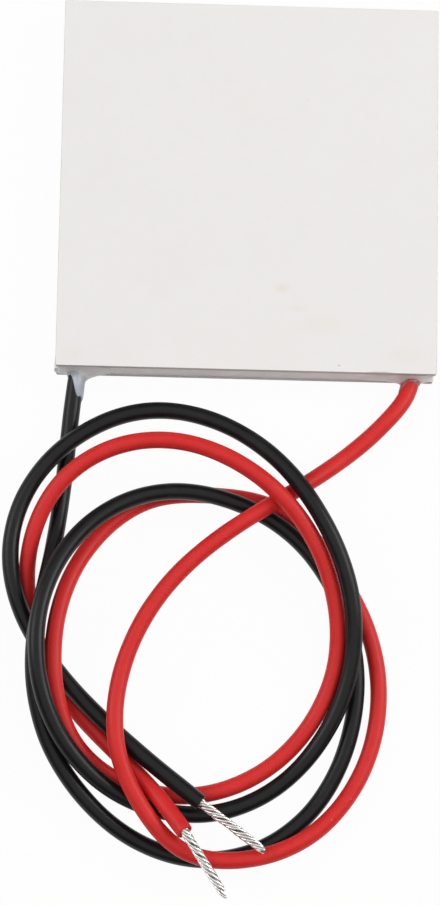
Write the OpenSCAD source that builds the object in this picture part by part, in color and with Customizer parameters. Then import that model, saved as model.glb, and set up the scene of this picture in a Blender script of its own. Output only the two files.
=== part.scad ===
// Thermoelectric cooling module: two ceramic plates, 127 couples of semiconductor legs
// in series between copper tabs, an edge seal, and a black and a red lead.
// The hot plate lies on z = 0, the cold plate is on top and the leads leave towards -Y.

/* [Plates] */
// Width of both ceramic plates along X
plate_w = 40; // [36:0.1:50]
// Depth of both ceramic plates along Y
plate_d = 40; // [36:0.1:50]
// Thickness of each ceramic plate
plate_t = 0.8; // [0.5:0.05:1.2]
// Radius on the four upright corners of each plate
plate_corner_r = 0.2; // [0.1:0.05:0.4]

/* [Legs and tabs] */
// Width of a square semiconductor leg
leg_w = 1.4; // [1:0.05:1.5]
// Height of a leg between its two copper tabs
leg_h = 2.5; // [1.8:0.1:3.5]
// Thickness of the copper tabs
tab_t = 0.3; // [0.2:0.05:0.5]
// Margin of a tab round the legs soldered to it
tab_margin = 0.1; // [0.05:0.01:0.15]
// Chamfer on the four corners of a tab
tab_chamfer = 0.2; // [0.1:0.05:0.3]
// Distance of the outermost tabs behind the plates' edges
tab_inset = 1.4; // [1.1:0.05:1.6]

/* [Edge seal] */
// Distance of the seal's outer face behind the plates' edges
seal_recess = 0.35; // [0.2:0.05:0.4]
// Clearance between the seal and the outermost tabs
seal_clearance = 0.1; // [0.05:0.01:0.15]

/* [Leads] */
// Outer diameter of the insulated leads
lead_d = 1.8; // [1.4:0.1:1.8]
// Diameter of the twisted and tinned conductor
wire_d = 1; // [0.7:0.05:1.1]
// Height of a lead's centre where it leaves between the plates
lead_z = 1.9; // [1.8:0.05:2]
// Clearance round a lead in its sealant bead
lead_clearance = 0.05; // [0.03:0.01:0.1]
// Length of a lead's insulation behind the plates' front edges
lead_in = 1; // [0.8:0.05:1.1]
// Length of a lead's first straight stretch in front of the plates' edges
lead_out = 1.5; // [1.4:0.1:2]
// Angle by which the black lead leans towards -X as it leaves
black_lean = 7; // [0:0.5:10]
// Angle by which the red lead leans towards -X as it leaves
red_lean = 14; // [8:0.5:16]
// Distance of the black lead's inner end from the middle of its pad, towards +X
black_shift = 0.2; // [0:0.05:0.2]

/* [Sealant beads] */
// Width of the part of a bead that fills the gap in the edge seal
plug_w = 2.6; // [2.5:0.1:3]
// Radius of a bead where it meets the plates
bead_r = 2.2; // [1.9:0.05:2.4]
// Radius of a bead at its end on the lead
bead_neck_r = 1.15; // [1.1:0.05:1.3]
// Length of a bead in front of the plates' edges
bead_out = 1.3; // [1:0.1:1.4]
// Height of a bead's underside above the hot face
bead_low = 0.3; // [0.1:0.05:0.5]

/* [Solder joints] */
// Length of bare conductor that lies on a lead's pad
joint_l = 2.3; // [1.8:0.1:2.4]
// Width of the solder where it wets the pad
solder_w = 1.15; // [1.15:0.05:1.2]
// Width of the solder at half the height of the conductor
solder_top_w = 1.1; // [1.1:0.05:1.15]

/* [Hidden] */

// Colours
ceramic_white = [0.93, 0.92, 0.91];
silicone_white = [0.9, 0.9, 0.88];
copper = [0.78, 0.48, 0.32];
n_grey = [0.45, 0.46, 0.49];
p_grey = [0.36, 0.36, 0.38];
solder_grey = [0.72, 0.72, 0.72];
tinned = [0.8, 0.79, 0.76];
pvc_black = [0.07, 0.07, 0.08];
pvc_red = [0.83, 0.11, 0.09];

// The legs stand on a square grid. Rows are counted from the front, columns from the left.
// A double row is what one row of hot tabs carries.
cols = 16;
rows = 16;

// Heights of the stack
hot_tab_z = plate_t;
leg_z = hot_tab_z + tab_t;
cold_tab_z = leg_z + leg_h;
cold_plate_z = cold_tab_z + tab_t;
gap_h = cold_plate_z - plate_t;

// Distance between neighbouring columns and rows, so that the outermost tabs keep their inset
tab_half_w = leg_w / 2 + tab_margin;
col_pitch = (plate_w - 2 * (tab_inset + tab_half_w)) / (cols - 1);
row_pitch = (plate_d - 2 * (tab_inset + tab_half_w)) / (rows - 1);

// Centre of a column or a row
function col_x(c) = (c - (cols + 1) / 2) * col_pitch;
function row_y(r) = (r - (rows + 1) / 2) * row_pitch;

// The front leg is left out of the first and last column: the leads are soldered there.
function has_leg(c, r) = !(r == 1 && (c == 1 || c == cols));

// N and P legs alternate like the squares of a chessboard.
function is_n(c, r) = (c + r) % 2 == 0;

// Edge seal: its inner face clears the outermost tabs, its outer face follows the plates
seal_in_x = plate_w / 2 - tab_inset + seal_clearance;
seal_in_y = plate_d / 2 - tab_inset + seal_clearance;
seal_out_x = plate_w / 2 - seal_recess;
seal_out_y = plate_d / 2 - seal_recess;

// Leads leave over the pads in the two front corners.
black_x = col_x(1) + black_shift;
red_x = col_x(cols);

// Sides of a lead's section, and a length by which cuts run past a face
lead_sides = 8;
cut = 1;
$fn = 48;

// Place of a point that is counted from the plates' front edges
function from_front(p) = p - [0, plate_d / 2, 0];

// X of a leaning lead's centre at a length y behind the plates' front edges
function lean_x(x, lean, y) = x - (lead_in - y) * tan(lean);

// Routes of the leads' centre lines. Each starts inside its bead and loops in front of the
// plates, over and under itself and the other lead, and its last point is the bare end's start.
// X is counted from the middle and Y from the plates' front edges.
black_route = [for (p = [
    [black_x, lead_in, lead_z], [lean_x(black_x, black_lean, -lead_out), -lead_out, lead_z],
    [-18.8, -11.4, 1.5], [-20.1, -21.4, 3.5], [-21.4, -30.3, 5.3], [-20.1, -38.2, 4.2],
    [-16, -44.7, 2.6], [-10.3, -49.1, 1.5], [-3.1, -50.8, 1], [3.3, -49.1, 0.9], [8.5, -44.4, 0.9],
    [11.5, -37.5, 1], [11.9, -29.9, 1.5], [9.5, -22.6, 2.2], [4.7, -16.7, 2.2], [-1.8, -13.5, 2.7],
    [-8.9, -13.1, 3.7], [-15.1, -16, 4.9], [-19.4, -21.5, 6.3], [-21.1, -28.7, 7.3],
    [-19.9, -35.9, 6.5], [-16, -41.8, 4.4], [-9.8, -45.5, 2.5], [-2.9, -46.1, 1.4],
    [3.6, -43.5, 1.2], [8.6, -38.1, 2], [11.3, -31, 3.5], [11.1, -23.4, 5.1], [8, -15.8, 6.1],
    [3, -9.4, 5.5], [-3.6, -5.4, 4.5], [-10.4, -4.5, 3.8], [-17, -7, 3.5], [-21.9, -12, 3.4],
    [-24.1, -18.7, 3.4], [-22.9, -25.6, 3.2], [-18.5, -32.4, 2.8], [-11.8, -39, 3.5],
    [-4, -45.2, 4.1]
]) from_front(p)];
black_tip = from_front([2.7, -50.1, 4.5]);

red_route = [for (p = [
    [red_x, lead_in, lead_z], [lean_x(red_x, red_lean, -lead_out), -lead_out, lead_z],
    [15.5, -4, 2.2], [12.9, -6.7, 2.2], [5.4, -12.5, 3.7], [-2.5, -17.9, 4.9], [-8.9, -24.5, 5.2],
    [-12.2, -31.6, 5.3], [-12.7, -39.4, 5.3], [-9.9, -45.9, 4.4], [-5.6, -50.1, 3.6],
    [1.5, -50.7, 2.9], [7.8, -47.9, 2], [12.3, -42.4, 1.3], [14.4, -34.9, 0.9], [13.4, -27.2, 0.9],
    [9.6, -20, 0.9], [4.2, -14.4, 0.9], [-2.8, -12.8, 0.9], [-9.8, -13.6, 1.4], [-15.3, -17.9, 2.5],
    [-18.7, -24.7, 4], [-19.3, -32.1, 4.8], [-17.1, -39.1, 3.4], [-12, -43.1, 1.6],
    [-5.3, -44.3, 0.9], [1.6, -42.2, 1], [7, -37.2, 1.4], [9.8, -30.5, 2.5], [9.3, -23, 4.1],
    [6, -16.1, 5.5], [0.2, -10.8, 6.3], [-6.9, -8.1, 6], [-13.8, -8.8, 5.4], [-19.3, -12.7, 4.6],
    [-22.1, -18.9, 3], [-21.8, -26.5, 1.2], [-18.6, -33.6, 1.1], [-12.5, -40.3, 2.3],
    [-8.4, -44.6, 3.8], [-5.6, -48.3, 5.8]
]) from_front(p)];
red_tip = from_front([-1.2, -54.9, 5.1]);

// ---- Plates ----

// A plate with square edges and four rounded upright corners
module plate() {
    linear_extrude(plate_t) {
        square([plate_w - 2 * plate_corner_r, plate_d], center = true);
        square([plate_w, plate_d - 2 * plate_corner_r], center = true);
        for (sx = [-1, 1], sy = [-1, 1])
            translate([sx * (plate_w / 2 - plate_corner_r), sy * (plate_d / 2 - plate_corner_r)])
                circle(r = plate_corner_r);
    }
}

module hot_plate() {
    color(ceramic_white) plate();
}

module cold_plate() {
    color(ceramic_white) translate([0, 0, cold_plate_z]) plate();
}

// ---- Copper tabs and semiconductor legs ----

// Flat outline of a tab that covers two legs in a line along Y, a pitch apart
module tab_outline(pitch) {
    half_w = tab_half_w;
    half_l = pitch / 2 + tab_half_w;
    c = tab_chamfer;
    polygon([
        [c - half_w, -half_l], [half_w - c, -half_l], [half_w, c - half_l], [half_w, half_l - c],
        [half_w - c, half_l], [c - half_w, half_l], [-half_w, half_l - c], [-half_w, c - half_l]
    ]);
}

// A tab that joins row r to row r + 1 in column c
module tab_along_y(c, r, z) {
    translate([col_x(c), row_y(r) + row_pitch / 2, z]) linear_extrude(tab_t) tab_outline(row_pitch);
}

// A tab that joins column c to column c + 1 in row r
module tab_along_x(c, r, z) {
    translate([col_x(c) + col_pitch / 2, row_y(r), z]) rotate(90)
        linear_extrude(tab_t) tab_outline(col_pitch);
}

// Hot side: every column is joined in pairs of rows. The corner tabs in front are the leads' pads.
module hot_tabs_row(k) {
    color(copper) for (c = [1:cols]) tab_along_y(c, 2 * k - 1, hot_tab_z);
}

// Cold side: every column is joined in the pairs of rows between those of the hot side.
module cold_tabs_row(k) {
    color(copper) for (c = [1:cols]) tab_along_y(c, 2 * k, cold_tab_z);
}

// Cold side, front and back: links that carry the current from one column to the next in turn
module cold_front_links() {
    color(copper) for (c = [2:2:cols - 2]) tab_along_x(c, 1, cold_tab_z);
}

module cold_back_links() {
    color(copper) for (c = [1:2:cols - 1]) tab_along_x(c, rows, cold_tab_z);
}

// The legs of one kind on double row k
module legs(k, n_kind) {
    for (r = [2 * k - 1, 2 * k], c = [1:cols])
        if (is_n(c, r) == n_kind && has_leg(c, r))
            translate([col_x(c) - leg_w / 2, row_y(r) - leg_w / 2, leg_z]) cube([leg_w, leg_w, leg_h]);
}

module n_legs_row(k) {
    color(n_grey) legs(k, true);
}

module p_legs_row(k) {
    color(p_grey) legs(k, false);
}

// ---- Edge seal and the beads round the leads ----

// Space of a bead's plug, through the front wall of the seal
module plug_space(x, lean, run_past) {
    middle_x = lean_x(x, lean, (plate_d - seal_out_y - seal_in_y) / 2);
    translate([middle_x - plug_w / 2, -seal_out_y - run_past, plate_t])
        cube([plug_w, seal_out_y - seal_in_y + 2 * run_past, gap_h]);
}

module perimeter_seal() {
    color(silicone_white) difference() {
        translate([0, 0, plate_t]) linear_extrude(gap_h) difference() {
            square([2 * seal_out_x, 2 * seal_out_y], center = true);
            square([2 * seal_in_x, 2 * seal_in_y], center = true);
        }
        plug_space(black_x, black_lean, seal_clearance);
        plug_space(red_x, red_lean, seal_clearance);
    }
}

// Room that a bead may fill in front of the seal: between the plates, then over their edges
module bead_room() {
    reach = seal_recess + bead_out;
    translate([-plate_w / 2, -plate_d / 2, plate_t]) cube([plate_w, seal_recess, gap_h]);
    translate([-plate_w / 2, -seal_out_y - reach, bead_low])
        cube([plate_w, bead_out, cold_plate_z + plate_t - 2 * bead_low]);
}

// Moves along a leaning lead to y, and turns +Z along the lead
module along_lead(x, lean, y) {
    translate([lean_x(x, lean, plate_d / 2 + y), y, lead_z]) rotate([90, 0, -lean]) children();
}

// A bead: a plug in the seal's front wall, and a hollow-curved fillet that tapers onto the lead
module lead_seal(x, lean) {
    reach = seal_recess + bead_out;
    back = bead_r * tan(lean);
    difference() {
        union() {
            plug_space(x, lean, 0);
            intersection() {
                along_lead(x, lean, -seal_out_y) rotate_extrude() difference() {
                    translate([0, -back]) square([bead_r, back + reach]);
                    translate([bead_r, reach]) circle(r = bead_r - bead_neck_r);
                }
                bead_room();
            }
        }
        along_lead(x, lean, cut - seal_in_y)
            cylinder(d = lead_d + 2 * lead_clearance, h = seal_out_y - seal_in_y + reach + 2 * cut);
    }
}

module black_lead_seal() {
    color(silicone_white) lead_seal(black_x, black_lean);
}

module red_lead_seal() {
    color(silicone_white) lead_seal(red_x, red_lean);
}

// ---- Leads ----

// Bare conductor from the lead's inner end, in the solder that holds it on the pad
module lead_joint(start) {
    end_y = start.y + joint_l;
    solder_l = end_y + seal_in_y - seal_clearance;
    solder_h = start.z - leg_z;
    translate(start) rotate([-90, 0, 0]) cylinder(d = wire_d, h = joint_l);
    translate([start.x, end_y, leg_z]) rotate([90, 0, 0]) linear_extrude(solder_l) polygon([
        [-solder_w / 2, 0], [solder_w / 2, 0], [solder_top_w / 2, solder_h], [-solder_top_w / 2, solder_h]
    ]);
}

module black_lead_joint() {
    color(solder_grey) lead_joint(black_route[0]);
}

module red_lead_joint() {
    color(solder_grey) lead_joint(red_route[0]);
}

function unit(v) = v / norm(v);

// Direction of a route at point i: straight ahead at its start, where it meets the conductor,
// along the bare end at its end, and between its two stretches everywhere else
function heading(p, i, tip) =
    i == 0 ? [0, -1, 0]
    : i == len(p) - 1 ? unit(tip - p[i])
    : unit(unit(p[i + 1] - p[i]) + unit(p[i] - p[i - 1]));

// A ring of points square to the heading
function ring(p, i, tip) =
    let (
        ahead = heading(p, i, tip),
        across = unit(cross(ahead, [0, 0, 1])),
        above = cross(across, ahead)
    )
    [for (k = [0:lead_sides - 1])
        let (a = 360 * k / lead_sides)
        p[i] + lead_d / 2 * (cos(a) * across + sin(a) * above)];

// Insulated lead swept along its route, with a flat face at each end
module lead(route, tip) {
    s = lead_sides;
    last = (len(route) - 1) * s;
    polyhedron(
        points = [for (i = [0:len(route) - 1]) each ring(route, i, tip)],
        faces = concat(
            [[for (k = [0:s - 1]) k], [for (k = [s - 1:-1:0]) last + k]],
            [for (i = [0:len(route) - 2], k = [0:s - 1])
                let (a = i * s + k, b = i * s + (k + 1) % s)
                each [[a, a + s, b], [b, a + s, b + s]]]
        )
    );
}

// Stripped end: the twisted and tinned strands, as one round rod from the insulation to the tip
module bare_end(from, tip) {
    v = tip - from;
    flat = norm([v.x, v.y]);
    translate(from) rotate([0, atan2(flat, v.z), atan2(v.y, v.x)]) cylinder(d = wire_d, h = norm(v));
}

module black_lead() {
    color(pvc_black) lead(black_route, black_tip);
}

module red_lead() {
    color(pvc_red) lead(red_route, red_tip);
}

module black_lead_wires() {
    color(tinned) bare_end(black_route[len(black_route) - 1], black_tip);
}

module red_lead_wires() {
    color(tinned) bare_end(red_route[len(red_route) - 1], red_tip);
}

hot_plate();
cold_plate();
perimeter_seal();
black_lead_seal();
red_lead_seal();
hot_tabs_row(1);  // hot_tabs_row_01
hot_tabs_row(2);  // hot_tabs_row_02
hot_tabs_row(3);  // hot_tabs_row_03
hot_tabs_row(4);  // hot_tabs_row_04
hot_tabs_row(5);  // hot_tabs_row_05
hot_tabs_row(6);  // hot_tabs_row_06
hot_tabs_row(7);  // hot_tabs_row_07
hot_tabs_row(8);  // hot_tabs_row_08
cold_tabs_row(1);  // cold_tabs_row_01
cold_tabs_row(2);  // cold_tabs_row_02
cold_tabs_row(3);  // cold_tabs_row_03
cold_tabs_row(4);  // cold_tabs_row_04
cold_tabs_row(5);  // cold_tabs_row_05
cold_tabs_row(6);  // cold_tabs_row_06
cold_tabs_row(7);  // cold_tabs_row_07
cold_front_links();
cold_back_links();
n_legs_row(1);  // n_legs_row_01
n_legs_row(2);  // n_legs_row_02
n_legs_row(3);  // n_legs_row_03
n_legs_row(4);  // n_legs_row_04
n_legs_row(5);  // n_legs_row_05
n_legs_row(6);  // n_legs_row_06
n_legs_row(7);  // n_legs_row_07
n_legs_row(8);  // n_legs_row_08
p_legs_row(1);  // p_legs_row_01
p_legs_row(2);  // p_legs_row_02
p_legs_row(3);  // p_legs_row_03
p_legs_row(4);  // p_legs_row_04
p_legs_row(5);  // p_legs_row_05
p_legs_row(6);  // p_legs_row_06
p_legs_row(7);  // p_legs_row_07
p_legs_row(8);  // p_legs_row_08
black_lead_joint();
red_lead_joint();
black_lead();
red_lead();
black_lead_wires();
red_lead_wires();
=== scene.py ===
# Thermoelectric cooling module: two ceramic plates, an edge of silicone, and a looped black and red lead.
import bpy, math
import numpy as np
from mathutils import Matrix, Vector


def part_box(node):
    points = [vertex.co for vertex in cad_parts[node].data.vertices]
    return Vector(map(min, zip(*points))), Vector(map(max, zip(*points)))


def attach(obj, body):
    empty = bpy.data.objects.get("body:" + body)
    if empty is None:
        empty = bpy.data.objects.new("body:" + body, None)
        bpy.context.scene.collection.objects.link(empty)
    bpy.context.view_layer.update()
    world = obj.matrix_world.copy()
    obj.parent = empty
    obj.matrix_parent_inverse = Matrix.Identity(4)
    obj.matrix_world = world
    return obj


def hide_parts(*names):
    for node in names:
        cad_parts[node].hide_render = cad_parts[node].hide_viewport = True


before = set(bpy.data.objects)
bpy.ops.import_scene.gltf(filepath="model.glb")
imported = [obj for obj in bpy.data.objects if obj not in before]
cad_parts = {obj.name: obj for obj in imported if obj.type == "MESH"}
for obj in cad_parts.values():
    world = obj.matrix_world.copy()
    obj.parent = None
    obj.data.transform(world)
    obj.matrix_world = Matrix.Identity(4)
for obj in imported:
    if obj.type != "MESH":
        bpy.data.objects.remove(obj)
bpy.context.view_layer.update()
mm = 0.001
fullTurn = 2 * math.pi

# Places that the CAD model gives: the plates' half width and depth and the heights of the stack
coldBox, hotBox = ([[float(v) for v in corner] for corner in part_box(node)]
                   for node in ("cold_plate", "hot_plate"))
halfWidth, halfDepth = coldBox[1][0], coldBox[1][1]
hotBottom, hotTop, coldBottom, coldTop = hotBox[0][2], hotBox[1][2], coldBox[0][2], coldBox[1][2]

camera = {
    "aim": (-2.463 * mm, -27.972 * mm, 0.0), "distance": 329.66 * mm,
    "turn": -10.038, "lift": 78.645, "roll": 11.238,  # degrees
    "lens": 124.17, "sensor": 36,
}


# Unit vector that is turn degrees round from -Y towards +X and lift degrees up
def direction(turn, lift):
    a, e = math.radians(turn), math.radians(lift)
    return Vector((math.cos(e) * math.sin(a), -math.cos(e) * math.cos(a), math.sin(e)))


# Rotation whose own -Z looks ahead, rolled about that line by an angle in degrees
def lookAlong(ahead, roll=0.0):
    right = ahead.cross(Vector((0, 0, 1))).normalized()
    above = right.cross(ahead)
    c, s = math.cos(math.radians(roll)), math.sin(math.radians(roll))
    return Matrix((c * right + s * above, c * above - s * right, -ahead)).transposed().to_euler()


def makeCamera():
    data = bpy.data.cameras.new("camera")
    data.lens, data.sensor_width, data.sensor_fit = camera["lens"], camera["sensor"], "AUTO"
    data.clip_start, data.clip_end = 0.01, 20
    back = direction(camera["turn"], camera["lift"])
    obj = bpy.data.objects.new("camera", data)
    obj.location = Vector(camera["aim"]) + camera["distance"] * back
    obj.rotation_euler = lookAlong(-back, camera["roll"])
    bpy.context.scene.collection.objects.link(obj)
    bpy.context.scene.camera = obj


makeCamera()
print("camera placed")


# One mesh object out of grids of points: row i and column j of a grid meet in one point. A ringed
# grid closes from its last column to its first, a looped one from its last row to its first, and a
# capped one has a fan round the middle of each end row. UV map "along" runs in millimetres along
# the rows and once round the columns. Values are one number a point, kept as attributes.
def meshFromGrids(name, grids, ringed=True, looped=False, capped=True, smooth=True, values=None):
    points, faces, places, start = [], [], [], 0
    kept = {key: [] for key in values or {}}
    for number, grid in enumerate(grids):
        rows, columns = grid.shape[:2]
        i, j = (v.reshape(-1, 1) for v in np.mgrid[0:rows - 1 + looped, 0:columns - 1 + ringed])
        i, j = i + [0, 1, 1, 0], j + [0, 0, 1, 1]
        middles = np.concatenate([grid, grid[:1]]).mean(axis=1)
        reach = np.concatenate([[0], np.cumsum(np.linalg.norm(np.diff(middles, axis=0), axis=1))]) / mm
        faces += (start + i % rows * columns + j % columns).tolist()
        places.append(np.stack([reach[i], j / columns], axis=-1).reshape(-1, 2))
        points.append(grid.reshape(-1, 3))
        for key in kept:
            kept[key].append(values[key][number].ravel())
        start += rows * columns
        if capped:
            k = np.arange(columns)
            after, centre = (k + 1) % columns, np.full(columns, start)
            first, last = start - rows * columns, start - columns
            faces += np.stack([first + k, first + after, centre], axis=-1).tolist()
            faces += np.stack([last + after, last + k, centre + 1], axis=-1).tolist()
            round_ = np.stack([k, k + 1, k + 0.5], axis=-1).ravel() / columns
            places += [np.stack([np.full(3 * columns, reach[row]), round_], axis=-1) for row in (0, rows - 1)]
            points.append(grid[[0, -1]].mean(axis=1))
            for key in kept:
                kept[key].append(values[key][number][[0, -1]].mean(axis=1))
            start += 2
    mesh = bpy.data.meshes.new(name)
    mesh.from_pydata(np.concatenate(points).tolist(), [], faces)
    mesh.uv_layers.new(name="along").data.foreach_set("uv", np.concatenate(places).ravel())
    for key, parts in kept.items():
        mesh.attributes.new(key, "FLOAT", "POINT").data.foreach_set("value", np.concatenate(parts))
    mesh.polygons.foreach_set("use_smooth", np.full(len(mesh.polygons), smooth))
    mesh.update()
    obj = bpy.data.objects.new(name, mesh)
    bpy.context.scene.collection.objects.link(obj)
    return obj


# Sum of cosine waves round a closed loop: for each number of waves, a height that falls with the
# root of the number and a start of its own
def waver(rng, turn, fewest, most, spacing=1):
    waves = range(fewest, most, spacing)
    total = sum(rng.normal() * np.cos(k * turn + rng.uniform(0, fullTurn)) / math.sqrt(k) for k in waves)
    return total / math.sqrt(sum(1 / k for k in waves))


# The two leads. Route points are in mm; the first two lean the way the lead leaves its bead.
leads = {
    "radius": 0.9 * mm, "boreRadius": 0.52 * mm, "sides": 40, "ringStep": 0.35 * mm,
    "lip": 0.07 * mm, "boreDepth": 0.5 * mm, "boreEdge": 0.04 * mm, "unevenness": 0.018 * mm,
    "blackRoute": [
        (-17.6, -19, 1.9), (-17.91, -21.5, 1.9), (-18.8, -31.4, 1.5), (-20.1, -41.4, 3.5),
        (-21.4, -50.3, 5.3), (-20.1, -58.2, 4.2), (-16, -64.7, 2.6), (-10.3, -69.1, 1.5), (-3.1, -70.8, 1),
        (3.3, -69.1, 0.9), (8.5, -64.4, 0.9), (11.5, -57.5, 1), (11.9, -49.9, 1.5), (9.5, -42.6, 2.2),
        (4.7, -36.7, 2.2), (-1.8, -33.5, 2.7), (-8.9, -33.1, 3.7), (-15.1, -36, 4.9), (-19.4, -41.5, 6.3),
        (-21.1, -48.7, 7.3), (-19.9, -55.9, 6.5), (-16, -61.8, 4.4), (-9.8, -65.5, 2.5), (-2.9, -66.1, 1.4),
        (3.6, -63.5, 1.2), (8.6, -58.1, 2), (11.3, -51, 3.5), (11.1, -43.4, 5.1), (8, -35.8, 6.1),
        (3, -29.4, 5.5), (-3.6, -25.4, 4.5), (-10.4, -24.5, 3.8), (-17, -27, 3.5), (-21.9, -32, 3.4),
        (-24.1, -38.7, 3.4), (-22.9, -45.6, 3.2), (-18.5, -52.4, 2.8), (-11.8, -59, 3.5), (-4, -65.2, 4.1)],
    "blackTip": (2.7, -70.1, 4.5),
    "redRoute": [
        (17.8, -19, 1.9), (17.18, -21.5, 1.9), (15.5, -24, 2.2), (12.9, -26.7, 2.2), (5.4, -32.5, 3.7),
        (-2.5, -37.9, 4.9), (-8.9, -44.5, 5.2), (-12.2, -51.6, 5.3), (-12.7, -59.4, 5.3),
        (-9.9, -65.9, 4.4), (-5.6, -70.1, 3.6), (1.5, -70.7, 2.9), (7.8, -67.9, 2), (12.3, -62.4, 1.3),
        (14.4, -54.9, 0.9), (13.4, -47.2, 0.9), (9.6, -40, 0.9), (4.2, -34.4, 0.9), (-2.8, -32.8, 0.9),
        (-9.8, -33.6, 1.4), (-15.3, -37.9, 2.5), (-18.7, -44.7, 4), (-19.3, -52.1, 4.8),
        (-17.1, -59.1, 3.4), (-12, -63.1, 1.6), (-5.3, -64.3, 0.9), (1.6, -62.2, 1), (7, -57.2, 1.4),
        (9.8, -50.5, 2.5), (9.3, -43, 4.1), (6, -36.1, 5.5), (0.2, -30.8, 6.3), (-6.9, -28.1, 6),
        (-13.8, -28.8, 5.4), (-19.3, -32.7, 4.6), (-22.1, -38.9, 3), (-21.8, -46.5, 1.2),
        (-18.6, -53.6, 1.1), (-12.5, -60.3, 2.3), (-8.4, -64.6, 3.8), (-5.6, -68.3, 5.8)],
    "redTip": (-1.2, -74.9, 5.1),
}


# Natural cubic spline through points: its second derivatives are zero at both ends and solve the
# usual three-band equations over the chord length. Points come out a step apart along it.
def smoothPath(points, step):
    p = np.array(points, float) * mm
    h = np.linalg.norm(np.diff(p, axis=0), axis=1)
    knots = np.concatenate([[0], np.cumsum(h)])
    n = len(p)
    rows = np.arange(1, n - 1)
    band, load = np.eye(n), np.zeros_like(p)
    band[rows, rows - 1], band[rows, rows], band[rows, rows + 1] = h[:-1], 2 * (h[:-1] + h[1:]), h[1:]
    load[1:-1] = 6 * np.diff(np.diff(p, axis=0) / h[:, None], axis=0)
    bend = np.linalg.solve(band, load)
    t = np.linspace(0, knots[-1], 40 * n)
    for _ in range(2):  # the second pass evens out the spacing
        k = np.clip(np.searchsorted(knots, t, side="right") - 1, 0, n - 2)
        a, b, w = (knots[k + 1] - t)[:, None], (t - knots[k])[:, None], h[k][:, None]
        line = ((bend[k] * a ** 3 + bend[k + 1] * b ** 3) / (6 * w)
                + (p[k] / w - bend[k] * w / 6) * a + (p[k + 1] / w - bend[k + 1] * w / 6) * b)
        reach = np.concatenate([[0], np.cumsum(np.linalg.norm(np.diff(line, axis=0), axis=1))])
        t = np.interp(np.linspace(0, reach[-1], int(reach[-1] / step) + 1), reach, t)
    line[:, 2] = np.maximum(line[:, 2], leads["radius"])  # nothing dips under the ground
    return line


# Directions ahead, across and above at every point of a path: across is level and points to the
# left for a path that comes towards -Y
def pathFrame(line):
    ahead = np.gradient(line, axis=0)
    ahead /= np.linalg.norm(ahead, axis=1)[:, None]
    across = np.cross(ahead, [0, 0, 1])
    across /= np.linalg.norm(across, axis=1)[:, None]
    return ahead, across, np.cross(across, ahead)


# Rings round a path: at angle v a point lies at radius * (cos v * across + sin v * above)
def ringsAround(line, radius, angles):
    ahead, across, above = pathFrame(line)
    side = np.cos(angles)[:, None] * across[:, None] + np.sin(angles)[:, None] * above[:, None]
    return line[:, None] + np.broadcast_to(radius, side.shape[:2])[..., None] * side


def anglesOf(sides):
    return np.arange(sides) / sides * fullTurn


# Insulated lead: the radius is the lead's own less unevenness * (2.8 + slow waves along and round
# it) / 2. Past the cut the rings turn over a small lip, cross the cut face and go down the bore.
def makeLead(name, route, seed):
    line = smoothPath(route, leads["ringStep"])
    angles = anglesOf(leads["sides"])
    rng = np.random.default_rng(seed)
    reach = np.arange(len(line))[:, None] * leads["ringStep"] / mm
    waves = sum(math.sqrt(1 / (k + 1))
                * np.cos(fullTurn * reach / period + twist * angles + rng.uniform(0, fullTurn))
                for k, (period, twist) in enumerate(((37, 0), (21, 2), (11, 1), (6, 2))))
    radius = leads["radius"] - leads["unevenness"] * (2.8 + waves) / 2
    lip, bore, bevel = leads["lip"], leads["boreRadius"], np.linspace(0, math.pi / 2, 5)[1:, None]
    endRadius = np.concatenate([radius[-1] - lip * (1 - np.cos(bevel)), np.full((3, leads["sides"]), bore)])
    endRadius[-3] += leads["boreEdge"]
    endShift = np.concatenate([lip * np.sin(bevel[:, 0]), [lip, lip - leads["boreEdge"], -leads["boreDepth"]]])
    ahead, across, above = (v[-1] for v in pathFrame(line))
    side = np.cos(angles)[:, None] * across + np.sin(angles)[:, None] * above
    ends = line[-1] + endRadius[..., None] * side + endShift[:, None, None] * ahead
    return meshFromGrids(name, [np.concatenate([ringsAround(line, radius, angles), ends])]), line


blackLead, blackLine = makeLead("blackLead", leads["blackRoute"], 3)
redLead, redLine = makeLead("redLead", leads["redRoute"], 8)
print("leads made")

# Stripped ends: tinned strands twisted round two more in the middle
strands = {
    "count": 6, "thickness": 0.335 * mm, "ring": 0.32 * mm, "lay": 4.0 * mm, "sides": 12, "rows": 110,
    "coreCount": 2, "coreRing": 0.09 * mm, "coreShort": 1.2 * mm, "startInside": 0.45 * mm,
    "waver": 0.025 * mm, "turnSpread": 0.07, "turnWaver": 0.09, "tipRound": 0.13 * mm,
}
blackEnd = {"taper": 0.42, "shortest": 0.5 * mm, "fork": 0.0, "seed": 5}
redEnd = {"taper": 0.05, "shortest": 1.1 * mm, "fork": 0.1 * mm, "seed": 9}


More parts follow.
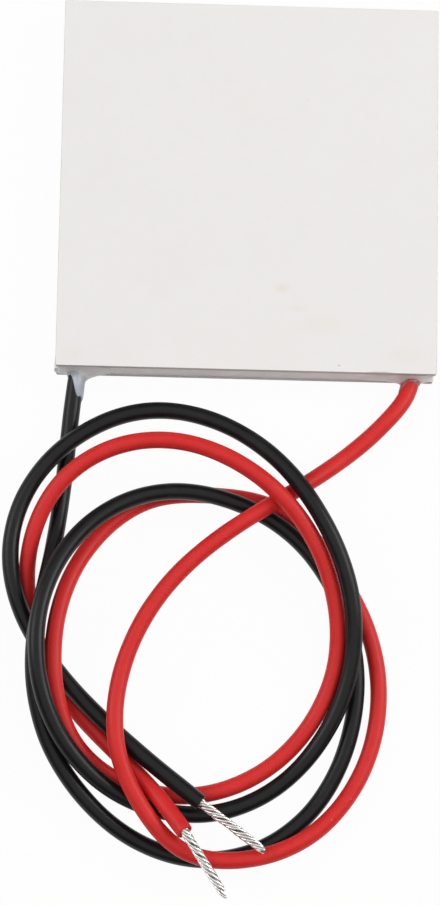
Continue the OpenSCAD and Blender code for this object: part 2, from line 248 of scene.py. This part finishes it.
# Twisted strands: strand k winds left-handed round the bare end's line, at angle
# turn * (s / lay - k / count) at length s, with a slow waver in its angle and distance. Each is cut
# at a length of its own and has a round tip, and the core is shorter. Value "groove" is 0 on the
# outer side and 1 inside; the metal paints shade by it, darkest on the core strands.
def makeStrands(name, line, tip, end):
    rng = np.random.default_rng(end["seed"])
    start, tip = line[-1], np.array(tip) * mm
    axis = (tip - start) / np.linalg.norm(tip - start)
    across = np.cross(axis, [0, 0, 1])
    across /= np.linalg.norm(across)
    above = np.cross(across, axis)
    total = np.linalg.norm(tip - start) + strands["startInside"]
    angles = anglesOf(strands["sides"])
    grids, grooveShades = [], []
    for ring, count, short, inner in (
            (strands["ring"], strands["count"], 0.0, False),
            (strands["coreRing"], strands["coreCount"], strands["coreShort"], True)):
        for k in range(count):
            long = total - rng.uniform(0, 1) ** 1.5 * end["shortest"] - short
            s = np.linspace(0, long, strands["rows"])
            share = np.clip((s / total - 0.8) / 0.2, 0, 1)
            wave = strands["waver"] * np.sin(s / mm * rng.uniform(1.2, 2.4) + rng.uniform(0, fullTurn))
            r = ring * (1 - end["taper"] * share ** 2) + wave + end["fork"] * rng.normal() * share
            turn = (fullTurn * (s / strands["lay"] - k / count) + rng.normal(0, strands["turnSpread"])
                    + strands["turnWaver"] * np.sin(s / mm * rng.uniform(0.8, 1.6) + rng.uniform(0, fullTurn)))
            out = np.cos(turn)[:, None] * across + np.sin(turn)[:, None] * above
            path = start + (s - strands["startInside"])[:, None] * axis + r[:, None] * out
            past = ((s - long) / strands["tipRound"] + 1).clip(0)
            width = strands["thickness"] / 2 * np.sqrt(np.clip(1 - past ** 2, 0.03, 1))
            grid = ringsAround(path, width[:, None], angles)
            grids.append(grid)
            facing = ((grid - path[:, None]) * out[:, None]).sum(axis=-1) / width[:, None]
            grooveShades.append(np.ones_like(facing) if inner else np.clip((0.8 - facing) / 0.9, 0, 1))
    return meshFromGrids(name, grids, values={"groove": grooveShades})


blackStrands = makeStrands("blackLeadStrands", blackLine, leads["blackTip"], blackEnd)
redStrands = makeStrands("redLeadStrands", redLine, leads["redTip"], redEnd)
print("stripped ends made")

# The silicone seal, which is fuller where each smear lies: its X, half width and share filled
seal = {
    "recess": 0.06 * mm, "sag": 0.08 * mm, "thickness": 0.9 * mm, "corner": 0.6 * mm, "waver": 0.05 * mm,
    "smearReach": 1.8 * mm, "fullest": 0.95, "bulge": 0.16 * mm, "step": 0.25 * mm, "rows": 11,
    "smears": [(-18.6 * mm, 3.2 * mm, 0.92), (17.6 * mm, 2.6 * mm, 0.92), (13.9 * mm, 1.3 * mm, 0.55)],
}


# Points of a rectangle with round corners, anticlockwise from above, with the outward direction at
# each: a straight side, then a quarter circle, four times
def roundedLoop(halfX, halfY, corner, step):
    points, outwards = [], []
    for k in range(4):
        sideX, sideY = (halfX, halfY) if k % 2 == 0 else (halfY, halfX)
        count = int(2 * (sideX - corner) / step)
        side = np.stack([np.linspace(-sideX + corner, sideX - corner, count), np.full(count, -sideY)], axis=-1)
        bend = np.linspace(-math.pi / 2, 0, 8)[1:-1]
        arcOut = np.stack([np.cos(bend), np.sin(bend)], axis=-1)
        arc = np.array([sideX - corner, -sideY + corner]) + corner * arcOut
        quarter = np.linalg.matrix_power(np.array([[0, 1], [-1, 0]]), k)
        points.append(np.concatenate([side, arc]) @ quarter)
        outwards.append(np.concatenate([np.tile([0.0, -1.0], (count, 1)), arcOut]) @ quarter)
    return np.concatenate(points), np.concatenate(outwards)


# Edge seal: a closed band between the plates. At share h of its height its face lies behind the
# plates' edges by (recess + sag * (1 - (2h - 1)^2)) * (1 - smears) plus a slow waver, less
# bulge * smears * 2 * root of h(1 - h).
def makeEdgeSeal():
    loop, outward = roundedLoop(halfWidth, halfDepth, seal["corner"], seal["step"])
    rng = np.random.default_rng(12)
    turn = anglesOf(len(loop))
    h = np.linspace(1, 0, seal["rows"])[:, None]
    smeared = sum(fill * np.exp(-((loop[:, 0] - x) / wide) ** 4) for x, wide, fill in seal["smears"])
    smeared = np.clip(smeared, 0, seal["fullest"])
    smeared = smeared * np.exp(-((loop[:, 1] + halfDepth) / seal["smearReach"]) ** 4)
    wave = waver(rng, turn, 3, 60) + waver(rng, turn, 3, 40) * (h - 0.5)
    depth = ((seal["recess"] + seal["sag"] * (1 - (2 * h - 1) ** 2)) * (1 - smeared)
             + seal["waver"] * wave * np.sqrt(h * (1 - h)) * (1 - smeared)).clip(0.01 * mm)
    depth = depth - seal["bulge"] * smeared * 2 * np.sqrt(h * (1 - h))
    depth = np.concatenate([depth, np.full((2, len(loop)), seal["recess"] + seal["thickness"])])
    z = hotTop + np.concatenate([h, [[0], [1]]]) * (coldBottom - hotTop)
    face = loop - depth[..., None] * outward
    grid = np.concatenate([face, np.broadcast_to(z[..., None], depth.shape + (1,))], axis=-1)
    return meshFromGrids("edgeSeal", [grid], looped=True, capped=False)


# The sealant beads: half widths of the rim on the plates, how far the fillets run along the lead on
# its left and right and how much less over it, how hollow they are, and a tongue smeared further
# along the lead. Angles go round the lead in degrees, from its left side over the top to its right.
blackBead = {
    "left": 2.28 * mm, "right": 3.4 * mm, "up": 2.3 * mm, "down": 1.6 * mm,
    "filletLeft": 0.3 * mm, "filletRight": 1.15 * mm, "topShare": 0.3, "hollow": 2.6,
    "film": 0.13 * mm, "shortest": 0.58 * mm,
    "tongue": 1.85 * mm, "tongueAngle": 147, "tongueWidth": 74, "seed": 4,
}
redBead = {
    "left": 3.1 * mm, "right": 1.95 * mm, "up": 2.2 * mm, "down": 1.6 * mm,
    "filletLeft": 0.85 * mm, "filletRight": 0.3 * mm, "topShare": 0.93, "hollow": 1.05,
    "film": 0.1 * mm, "shortest": 0.5 * mm,
    "tongue": 0.95 * mm, "tongueAngle": 0, "tongueWidth": 55, "seed": 6,
}
beads = {
    "columns": 96, "rows": 50, "blend": 0.8 * mm, "back": 0.45 * mm, "behind": 0.02 * mm, "oval": 2.6,
    "tuck": 0.06 * mm, "opaqueFrom": 0.36 * mm,
}


# Bead round a lead where it leaves: at angle v and length d past the plates' edges, the distance
# from the lead's line is its radius + film + (rim - radius) * (1 - d / fillet)^hollow. The rim is
# an oval of power 2.6 in the plane of the edges, the fillet is shorter by topShare over the lead,
# and d ends sooner or later with the angle.
def makeBead(name, line, bead):
    rng = np.random.default_rng(bead["seed"])
    v = anglesOf(beads["columns"])
    rimX = np.where(np.cos(v) > 0, bead["left"], bead["right"])
    rimZ = np.where(np.sin(v) > 0, bead["up"], bead["down"])
    power = beads["oval"]
    rim = ((np.abs(np.cos(v)) / rimX) ** power + (np.abs(np.sin(v)) / rimZ) ** power) ** (-1 / power)
    rough = waver(rng, v, 2, 9)
    fillet = bead["filletRight"] + (bead["filletLeft"] - bead["filletRight"]) * (1 + np.cos(v)) / 2
    fillet = fillet * (1 - bead["topShare"] * np.clip(np.sin(v), 0, 1) ** 3)
    away = (np.degrees(v) - bead["tongueAngle"] + 180) % 360 - 180
    tongue = bead["tongue"] * np.exp(-(away / bead["tongueWidth"]) ** 4)
    longest = np.maximum(fillet, bead["shortest"]) * (1.1 + 0.12 * rough) + tongue * (1 + 0.04 * rough)
    t = np.linspace(0, 1, beads["rows"])[:, None] ** 1.4
    d = t * longest
    swell = (rim - leads["radius"]) * np.clip(1 - d / (fillet * (1 + 0.1 * rough)), 0, 1) ** bead["hollow"]
    film = bead["film"] * (1 + 0.3 * np.sin(3 * v + 5 * t)) * np.sqrt(np.clip(1 - t ** 5, 0, 1))
    r = leads["radius"] + film + swell - beads["tuck"] * t ** 30
    along = np.concatenate([[0], np.cumsum(np.linalg.norm(np.diff(line[:40], axis=0), axis=1))])
    exitReach = np.interp(halfDepth, -line[:40, 1], along)
    place, _, across, above = (
        np.stack([np.interp(exitReach + d, along, part[:40, k]) for k in range(3)], axis=-1)
        for part in (line, *pathFrame(line)))
    share = np.clip(d / beads["blend"], 0, 1)[..., None]
    across = (1 - share) * np.array([-1.0, 0, 0]) + share * across
    skin = place + (r * np.cos(v))[..., None] * across + (r * np.sin(v))[..., None] * above
    inGap = skin[0] * [1, 1, 0] + np.clip(skin[0, :, 2:], hotTop, coldBottom) * [0, 0, 1]
    grid = np.concatenate([[inGap + [0, beads["back"], 0], inGap + [0, beads["behind"], 0]], skin])
    thick = np.concatenate([np.ones((2, len(v))), np.clip((film + swell) / beads["opaqueFrom"], 0, 1)])
    return meshFromGrids(name, [grid], values={"thick": [thick]})


edgeSeal = makeEdgeSeal()
blackSeal = makeBead("blackLeadBead", blackLine, blackBead)
redSeal = makeBead("redLeadBead", redLine, redBead)
print("silicone made")

# The ceramic plates, and one long shallow chip on the cold plate's front edge: its X, half length, depth
plates = {
    "corner": 0.2 * mm, "bevel": 0.05 * mm, "rim": 0.15 * mm, "nibble": 0.03 * mm, "step": 0.2 * mm,
    "chip": (14.0 * mm, 1.5 * mm, 0.14 * mm),
}


# Ceramic plate: a rectangle with round corners whose edges are drawn in by a narrow bevel and
# nibbled where a noise along the edge is high; a chip is drawn in by depth * (1 - (x / half)^2)
def makePlate(name, low, high, seed, chipped):
    rng = np.random.default_rng(seed)
    loop, outward = roundedLoop(halfWidth, halfDepth, plates["corner"], plates["step"])
    turn, bevel = anglesOf(len(loop)), plates["bevel"]
    x, half, depth = plates["chip"]
    chip = depth * np.clip(1 - ((loop[:, 0] - x) / half) ** 2, 0, 1) * (outward[:, 1] < -0.9) * chipped
    rings = []
    profile = (
        (plates["rim"], high, 1), (bevel, high, 1), (bevel * 0.3, high - bevel * 0.3, 0.8),
        (0, high - bevel, 0.7), (0, high - 4 * bevel, 0), (0, low + bevel, 0),
        (bevel * 0.3, low + bevel * 0.3, 0), (bevel, low, 0), (plates["rim"], low, 0))
    for inset, height, chipShare in profile:
        nibbles = plates["nibble"] * np.clip(waver(rng, turn, 60, 200, 7) - 0.8, 0, 1) * (inset < plates["rim"])
        place = loop - (inset + nibbles + chip * chipShare)[:, None] * outward
        rings.append(np.concatenate([place, np.full((len(loop), 1), height)], axis=-1))
    return meshFromGrids(name, [np.stack(rings)], smooth=False)


coldPlate = makePlate("coldPlate", coldBottom, coldTop, 21, True)
hotPlate = makePlate("hotPlate", hotBottom, hotTop, 22, False)
print("plates made")


# New node with its inputs linked or set and its settings made
def addNode(tree, kind, inputs=None, **settings):
    made = tree.nodes.new(kind)
    for key, value in settings.items():
        setattr(made, key, value)
    for key, value in (inputs or {}).items():
        if isinstance(value, bpy.types.NodeSocket):
            tree.links.new(value, made.inputs[key])
        else:
            made.inputs[key].default_value = value
    return made


def mixColour(tree, share, first, second):
    return addNode(tree, "ShaderNodeMix", {0: share, 6: first, 7: second}, data_type="RGBA").outputs[2]


def mapRange(tree, value, low, high, toLow=0.0, toHigh=1.0):
    return addNode(tree, "ShaderNodeMapRange", {0: value, 1: low, 2: high, 3: toLow, 4: toHigh}).outputs[0]


def maths(tree, operation, first, second=0.0, third=0.0):
    return addNode(tree, "ShaderNodeMath", {0: first, 1: second, 2: third}, operation=operation).outputs[0]


def noise(tree, place, scale, detail=2.0):
    return addNode(tree, "ShaderNodeTexNoise", {"Vector": place, "Scale": scale, "Detail": detail}).outputs[0]


def newGroup(name, inputs, output, kind):
    group = bpy.data.node_groups.new(name, "ShaderNodeTree")
    group.interface.new_socket("Place", in_out="INPUT", socket_type="NodeSocketVector")
    for socketName, value in inputs.items():
        socket = group.interface.new_socket(socketName, in_out="INPUT", socket_type="NodeSocketFloat")
        socket.default_value = value
    group.interface.new_socket(output, in_out="OUTPUT", socket_type=kind)
    return group, group.nodes.new("NodeGroupInput").outputs, group.nodes.new("NodeGroupOutput").inputs[0]


def useGroup(tree, group, inputs):
    return addNode(tree, "ShaderNodeGroup", inputs, node_tree=group).outputs[0]


# Cloudy unevenness of a given size: soft noise of two sizes, from 0 to 1
def makeCloudGroup():
    group, given, out = newGroup("softClouds", {"Size mm": 5.0}, "Value", "NodeSocketFloat")
    scale = maths(group, "DIVIDE", 1000.0, given["Size mm"])
    broad = noise(group, given["Place"], scale)
    fine = noise(group, given["Place"], maths(group, "MULTIPLY", scale, 3.7))
    total = maths(group, "MULTIPLY_ADD", fine, 0.4, maths(group, "MULTIPLY", broad, 0.6))
    group.links.new(mapRange(group, total, 0.3, 0.7), out)
    return group


# Fine relief: noise of one grain size as a bumped normal
def makeGrainGroup():
    inputs = {"Size mm": 0.1, "Height mm": 0.002}
    group, given, out = newGroup("fineRelief", inputs, "Normal", "NodeSocketVector")
    grain = noise(group, given["Place"], maths(group, "DIVIDE", 1000.0, given["Size mm"]))
    height = maths(group, "MULTIPLY", given["Height mm"], mm)
    bump = addNode(group, "ShaderNodeBump", {"Strength": 1.0, "Distance": height, "Height": grain})
    group.links.new(bump.outputs[0], out)
    return group


# Dust: small round specks in the cells of a pattern whose own random value is under the share
def makeDustGroup():
    inputs = {"Spacing mm": 1.0, "Radius mm": 0.1, "Share": 0.1}
    group, given, out = newGroup("dustSpecks", inputs, "Mask", "NodeSocketFloat")
    scale = maths(group, "DIVIDE", 1000.0, given["Spacing mm"])
    cells = addNode(group, "ShaderNodeTexVoronoi", {"Vector": given["Place"], "Scale": scale}).outputs
    random = addNode(group, "ShaderNodeSeparateColor", {0: cells["Color"]}).outputs[0]
    size = maths(group, "DIVIDE", given["Radius mm"], given["Spacing mm"])
    near = maths(group, "SUBTRACT", 1.0, maths(group, "DIVIDE", cells["Distance"], size))
    speck = mapRange(group, near, 0.0, 0.4)
    group.links.new(maths(group, "MULTIPLY", maths(group, "LESS_THAN", random, given["Share"]), speck), out)
    return group


softClouds, fineRelief, dustSpecks = makeCloudGroup(), makeGrainGroup(), makeDustGroup()


# New material with its even values set on the shader; gives the material, its tree, the shader's
# inputs and the place on the object
def newMaterial(name, **sockets):
    material = bpy.data.materials.new(name)
    material.use_nodes = True
    tree = material.node_tree
    shader = tree.nodes["Principled BSDF"].inputs
    for key, value in sockets.items():
        shader[key.replace("_", " ")].default_value = value
    return material, tree, shader, addNode(tree, "ShaderNodeTexCoord").outputs["Object"]


ceramic = {
    "colour": (0.885, 0.866, 0.845, 1), "cloudColour": (0.865, 0.845, 0.823, 1),
    "stainColour": (0.80, 0.735, 0.60, 1), "dustColour": (0.40, 0.37, 0.34, 1), "dustShare": 0.22,
    # the edge colour is a painted shade on the plates' side faces
    "shadedEdgeColour": (0.60, 0.57, 0.555, 1), "roughness": (0.5, 0.62), "grain": 0.003,
    "scribePitch": 0.16 * mm, "scribeDepth": 0.02 * mm,
    # Marks on the cold face: X, Y, half length, half width, strength
    "stains": [(3.6, -11.1, 0.9, 0.6, 0.42), (7.9, -15.0, 3.0, 1.3, 0.14), (5.2, -13.3, 1.6, 0.6, 0.14),
               (-18.4, -18.7, 1.8, 1.5, 0.15), (16.8, -18.0, 2.4, 1.2, 0.15)],
    "specks": [(9.7, -19.3, 0.16, 0.09, 0.7), (6.2, 9.6, 0.1, 0.08, 0.3)],
}


# Mask that is the highest of a list of soft oval spots with ragged edges on the XY plane
def spotMask(tree, axes, ragged, spots):
    total = 0.0
    for x, y, long, wide, strength in spots:
        dx = maths(tree, "DIVIDE", maths(tree, "SUBTRACT", axes[0], x * mm), long * mm)
        dy = maths(tree, "DIVIDE", maths(tree, "SUBTRACT", axes[1], y * mm), wide * mm)
        away = maths(tree, "SQRT", maths(tree, "MULTIPLY_ADD", dx, dx, maths(tree, "MULTIPLY", dy, dy)))
        spot = mapRange(tree, maths(tree, "MULTIPLY_ADD", ragged, 0.7, away), 0.6, 1.5, strength, 0.0)
        total = maths(tree, "MAXIMUM", total, spot)
    return total


# Alumina: faint clouds, stains on the cold face, dust, fine grain, painted shade on the plates' side
# faces, and on them the row of small pits that a laser leaves where the plates are snapped apart
def makeCeramic():
    material, tree, shader, place = newMaterial("alumina ceramic", IOR=1.6)
    cloud = useGroup(tree, softClouds, {"Place": place, "Size mm": 6.0})
    speckle = useGroup(tree, softClouds, {"Place": place, "Size mm": 0.35})
    axes = addNode(tree, "ShaderNodeSeparateXYZ", {0: place}).outputs
    ragged = noise(tree, place, 700.0)
    onTop = maths(tree, "GREATER_THAN", axes[2], coldTop - 0.1 * mm)
    dust = useGroup(tree, dustSpecks, {"Place": place, "Spacing mm": 2.6, "Radius mm": 0.06, "Share": 0.16})
    colour = mixColour(tree, cloud, ceramic["colour"], ceramic["cloudColour"])
    colour = mixColour(tree, maths(tree, "MULTIPLY", speckle, 0.25), colour, ceramic["cloudColour"])
    stain = maths(tree, "MULTIPLY", spotMask(tree, axes, ragged, ceramic["stains"]), onTop)
    colour = mixColour(tree, stain, colour, ceramic["stainColour"])
    speck = maths(tree, "MULTIPLY", spotMask(tree, axes, ragged, ceramic["specks"]), onTop)
    dirt = maths(tree, "MAXIMUM", maths(tree, "MULTIPLY", dust, ceramic["dustShare"]), speck)
    colour = mixColour(tree, dirt, colour, ceramic["dustColour"])
    # The side faces take the edge colour: painted shade, darker than the top
    edgeX, edgeY = (maths(tree, "GREATER_THAN", maths(tree, "ABSOLUTE", axis), half - 0.03 * mm)
                    for axis, half in ((axes[0], halfWidth), (axes[1], halfDepth)))
    edge = maths(tree, "MAXIMUM", edgeX, edgeY)
    tree.links.new(mixColour(tree, edge, colour, ceramic["shadedEdgeColour"]), shader["Base Color"])
    tree.links.new(mapRange(tree, cloud, 0.0, 1.0, *ceramic["roughness"]), shader["Roughness"])
    turn = maths(tree, "MULTIPLY", maths(tree, "ADD", axes[0], axes[1]), math.pi / ceramic["scribePitch"])
    pits = maths(tree, "POWER", maths(tree, "ABSOLUTE", maths(tree, "SINE", turn)), 0.5)
    relief = maths(tree, "MULTIPLY", pits, edge)
    grain = useGroup(tree, fineRelief, {"Place": place, "Size mm": 0.12, "Height mm": ceramic["grain"]})
    bump = addNode(tree, "ShaderNodeBump", {
        "Strength": 1.0, "Distance": ceramic["scribeDepth"], "Height": relief, "Normal": grain})
    tree.links.new(bump.outputs[0], shader["Normal"])
    return material


silicone = {"colour": (0.90, 0.89, 0.87, 1), "cloudColour": (0.83, 0.815, 0.80, 1), "roughness": (0.3, 0.46)}


# Silicone sealant: cloudy white. Over a lead the thin film lets the colour under it through, more
# where value "thick" is low, in streaks along the lead.
def makeSilicone(name, thinColour=None):
    material, tree, shader, place = newMaterial(name, IOR=1.42)
    cloud = useGroup(tree, softClouds, {"Place": place, "Size mm": 1.4})
    colour = mixColour(tree, cloud, silicone["colour"], silicone["cloudColour"])
    if thinColour is not None:
        thick = addNode(tree, "ShaderNodeAttribute", attribute_name="thick").outputs["Fac"]
        along = addNode(tree, "ShaderNodeUVMap", uv_map="along").outputs[0]
        drawn = addNode(tree, "ShaderNodeMapping", {"Vector": along, "Scale": (0.5, 9.0, 1.0)}).outputs[0]
        streaks = mapRange(tree, noise(tree, drawn, 1.0), 0.3, 0.7, -0.22, 0.22)
        share = mapRange(tree, maths(tree, "ADD", thick, streaks), 0.22, 0.95)
        colour = mixColour(tree, share, thinColour, colour)
    tree.links.new(colour, shader["Base Color"])
    tree.links.new(mapRange(tree, cloud, 0.0, 1.0, *silicone["roughness"]), shader["Roughness"])
    relief = useGroup(tree, fineRelief, {"Place": place, "Size mm": 0.5, "Height mm": 0.015})
    tree.links.new(relief, shader["Normal"])
    return material


blackVinyl = {
    "colour": (0.006, 0.006, 0.007, 1), "worn": (0.011, 0.011, 0.012, 1), "dust": (0.35, 0.35, 0.34, 1),
    "roughness": 0.33,
}
redVinyl = {
    "colour": (0.67, 0.02, 0.018, 1), "worn": (0.72, 0.03, 0.028, 1), "dust": (0.85, 0.55, 0.53, 1),
    "roughness": 0.42,
}
vinyl = {"specular": 0.26, "dustShare": 0.8, "drawnDepth": 0.004 * mm}


# Lead insulation: soft vinyl with faint lines drawn along it by the extruder, cloudy wear and dust
def makeVinyl(name, finish):
    material, tree, shader, place = newMaterial(name, IOR=1.5, Specular_IOR_Level=vinyl["specular"])
    along = addNode(tree, "ShaderNodeUVMap", uv_map="along").outputs[0]
    drawn = addNode(tree, "ShaderNodeMapping", {"Vector": along, "Scale": (0.15, 14.0, 1.0)}).outputs[0]
    lines = noise(tree, drawn, 1.0)
    cloud = useGroup(tree, softClouds, {"Place": place, "Size mm": 3.0})
    dust = useGroup(tree, dustSpecks, {"Place": place, "Spacing mm": 1.9, "Radius mm": 0.055, "Share": 0.1})
    colour = mixColour(tree, cloud, finish["colour"], finish["worn"])
    colour = mixColour(tree, maths(tree, "MULTIPLY", dust, vinyl["dustShare"]), colour, finish["dust"])
    tree.links.new(colour, shader["Base Color"])
    cloudy, lined = mapRange(tree, cloud, 0.0, 1.0, -0.06, 0.08), mapRange(tree, lines, 0.3, 0.7, -0.03, 0.03)
    rough = maths(tree, "ADD", cloudy, lined)
    tree.links.new(maths(tree, "ADD", rough, finish["roughness"]), shader["Roughness"])
    grain = useGroup(tree, fineRelief, {"Place": place, "Size mm": 0.11, "Height mm": 0.0015})
    bump = addNode(tree, "ShaderNodeBump", {
        "Strength": 1.0, "Distance": vinyl["drawnDepth"], "Height": lines, "Normal": grain})
    tree.links.new(bump.outputs[0], shader["Normal"])
    return material


# Each metal's colour, the colour of its stained clouds, roughness, and the size and height of its grain
metals = {
    "tinned strands": ((0.92, 0.91, 0.89, 1), (0.78, 0.75, 0.72, 1), 0.24, 0.22, 0.016),
    "copper tab": ((0.83, 0.47, 0.32, 1), (0.68, 0.34, 0.22, 1), 0.35, 0.2, 0.006),
    "n type crystal": ((0.46, 0.47, 0.51, 1), (0.36, 0.37, 0.41, 1), 0.42, 0.15, 0.012),
    "p type crystal": ((0.38, 0.38, 0.40, 1), (0.28, 0.28, 0.30, 1), 0.48, 0.15, 0.012),
    "solder": ((0.74, 0.74, 0.73, 1), (0.60, 0.60, 0.60, 1), 0.3, 0.3, 0.02),
}
grooveShadeColour = (0.14, 0.125, 0.115, 1)  # painted shade in the hollows between the strands


# Metal with cloudy stains and a fine grain; grooved metal darkens with value "groove", a painted shade in the
# hollows between strands
def makeMetal(name, grooved=False):
    bright, stained, roughness, grainSize, grainHeight = metals[name]
    material, tree, shader, place = newMaterial(name, Metallic=1.0)
    cloud = useGroup(tree, softClouds, {"Place": place, "Size mm": 0.6})
    colour = mixColour(tree, cloud, bright, stained)
    if grooved:
        depth = addNode(tree, "ShaderNodeAttribute", attribute_name="groove").outputs["Fac"]
        # painted shade: the inward sides and core of the strands turn dark
        colour = mixColour(tree, mapRange(tree, depth, 0.3, 1.0), colour, grooveShadeColour)
    tree.links.new(colour, shader["Base Color"])
    tree.links.new(mapRange(tree, cloud, 0.0, 1.0, roughness - 0.06, roughness + 0.1), shader["Roughness"])
    grain = useGroup(tree, fineRelief, {"Place": place, "Size mm": grainSize, "Height mm": grainHeight})
    tree.links.new(grain, shader["Normal"])
    return material


ceramicMaterial, sealMaterial = makeCeramic(), makeSilicone("silicone sealant")
blackBeadMaterial = makeSilicone("silicone sealant on black", (0.38, 0.42, 0.48, 1))
redBeadMaterial = makeSilicone("silicone sealant on red", (0.50, 0.13, 0.14, 1))
blackMaterial, redMaterial = makeVinyl("black vinyl", blackVinyl), makeVinyl("red vinyl", redVinyl)
tinnedMaterial = makeMetal("tinned strands", grooved=True)
innerLooks = {
    "tabs": "copper tab", "links": "copper tab", "n_legs": "n type crystal", "p_legs": "p type crystal",
    "joint": "solder",
}
innerMaterials = {part: bpy.data.materials.get(name) or makeMetal(name) for part, name in innerLooks.items()}
print("materials made")


def dress(obj, material):
    obj.data.materials.clear()
    obj.data.materials.append(material)


for obj, material, node, slot in (
        (coldPlate, ceramicMaterial, "cold_plate", "alumina"),
        (hotPlate, ceramicMaterial, "hot_plate", "alumina"),
        (edgeSeal, sealMaterial, "perimeter_seal", "silicone"),
        (blackSeal, blackBeadMaterial, "black_lead_seal", "silicone"),
        (redSeal, redBeadMaterial, "red_lead_seal", "silicone"),
        (blackLead, blackMaterial, "black_lead", "black_insulation"),
        (redLead, redMaterial, "red_lead", "red_insulation"),
        (blackStrands, tinnedMaterial, "black_lead_wires", "tinned_wire"),
        (redStrands, tinnedMaterial, "red_lead_wires", "tinned_wire")):
    dress(obj, material)
    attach(obj, "root")
    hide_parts(node)

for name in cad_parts:
    for part, material in innerMaterials.items():
        if part in name:
            dress(bpy.data.objects[name], material)

print("pieces placed")

stage = {
    "size": 6.0, "drop": 0.02 * mm, "shadowShare": 0.035, "floorColour": (0.7, 0.7, 0.7, 1),
    "world": (0.105, 0.105, 0.105, 1),
}
# Each lamp: where it comes from (turn and lift in degrees), distance, width, height and watts
lamps = {
    "left box": (-104, 34, 0.5, 0.3, 0.32, 0.9),
    "right box": (104, 34, 0.5, 0.3, 0.32, 1.28),
    "top box": (0, 89, 0.8, 1.4, 1.4, 5.0),
}


# Floor that keeps the object's shadow and is white to the camera and in reflections
def makeStage():
    half = stage["size"] / 2
    mesh = bpy.data.meshes.new("floor")
    corners = [(x, y, -stage["drop"]) for x, y in ((-half, -half), (half, -half), (half, half), (-half, half))]
    mesh.from_pydata(corners, [], [(0, 1, 2, 3)])
    floor = bpy.data.objects.new("floor", mesh)
    bpy.context.scene.collection.objects.link(floor)
    material = bpy.data.materials.new("pale floor")
    material.use_nodes = True
    tree = material.node_tree
    tree.nodes.remove(tree.nodes["Principled BSDF"])
    path = addNode(tree, "ShaderNodeLightPath").outputs
    reflected = maths(tree, "MAXIMUM", path["Is Glossy Ray"], path["Is Transmission Ray"])
    seen = maths(tree, "MAXIMUM", path["Is Camera Ray"], reflected)
    matt = addNode(tree, "ShaderNodeBsdfDiffuse", {"Color": stage["floorColour"]})
    white = addNode(tree, "ShaderNodeEmission", {"Color": (1, 1, 1, 1), "Strength": 1.0})
    share = maths(tree, "MULTIPLY", seen, 1 - stage["shadowShare"])
    mixed = addNode(tree, "ShaderNodeMixShader", {0: share, 1: matt.outputs[0], 2: white.outputs[0]})
    tree.links.new(mixed.outputs[0], tree.nodes["Material Output"].inputs["Surface"])
    dress(floor, material)


# World that is white to the camera and dim for everything else
def makeWorld():
    world = bpy.data.worlds.new("studio")
    bpy.context.scene.world = world
    world.use_nodes = True
    tree = world.node_tree
    path = addNode(tree, "ShaderNodeLightPath").outputs
    dim = addNode(tree, "ShaderNodeBackground", {"Color": stage["world"], "Strength": 1.0})
    white = addNode(tree, "ShaderNodeBackground", {"Color": (1, 1, 1, 1), "Strength": 1.0})
    mixed = addNode(tree, "ShaderNodeMixShader", {
        0: path["Is Camera Ray"], 1: dim.outputs[0], 2: white.outputs[0]})
    out = next(node for node in tree.nodes if node.type == "OUTPUT_WORLD")
    tree.links.new(mixed.outputs[0], out.inputs["Surface"])


def makeLamps():
    for name, (turn, lift, distance, width, height, power) in lamps.items():
        data = bpy.data.lights.new(name, "AREA")
        data.shape, data.size, data.size_y, data.energy = "RECTANGLE", width, height, power
        lamp = bpy.data.objects.new(name, data)
        lamp.location = Vector(camera["aim"]) + distance * direction(turn, lift)
        lamp.rotation_euler = lookAlong(-direction(turn, lift))
        bpy.context.scene.collection.objects.link(lamp)


makeStage()
makeWorld()
makeLamps()
bpy.context.scene.view_settings.view_transform = "Standard"
print("stage lit")
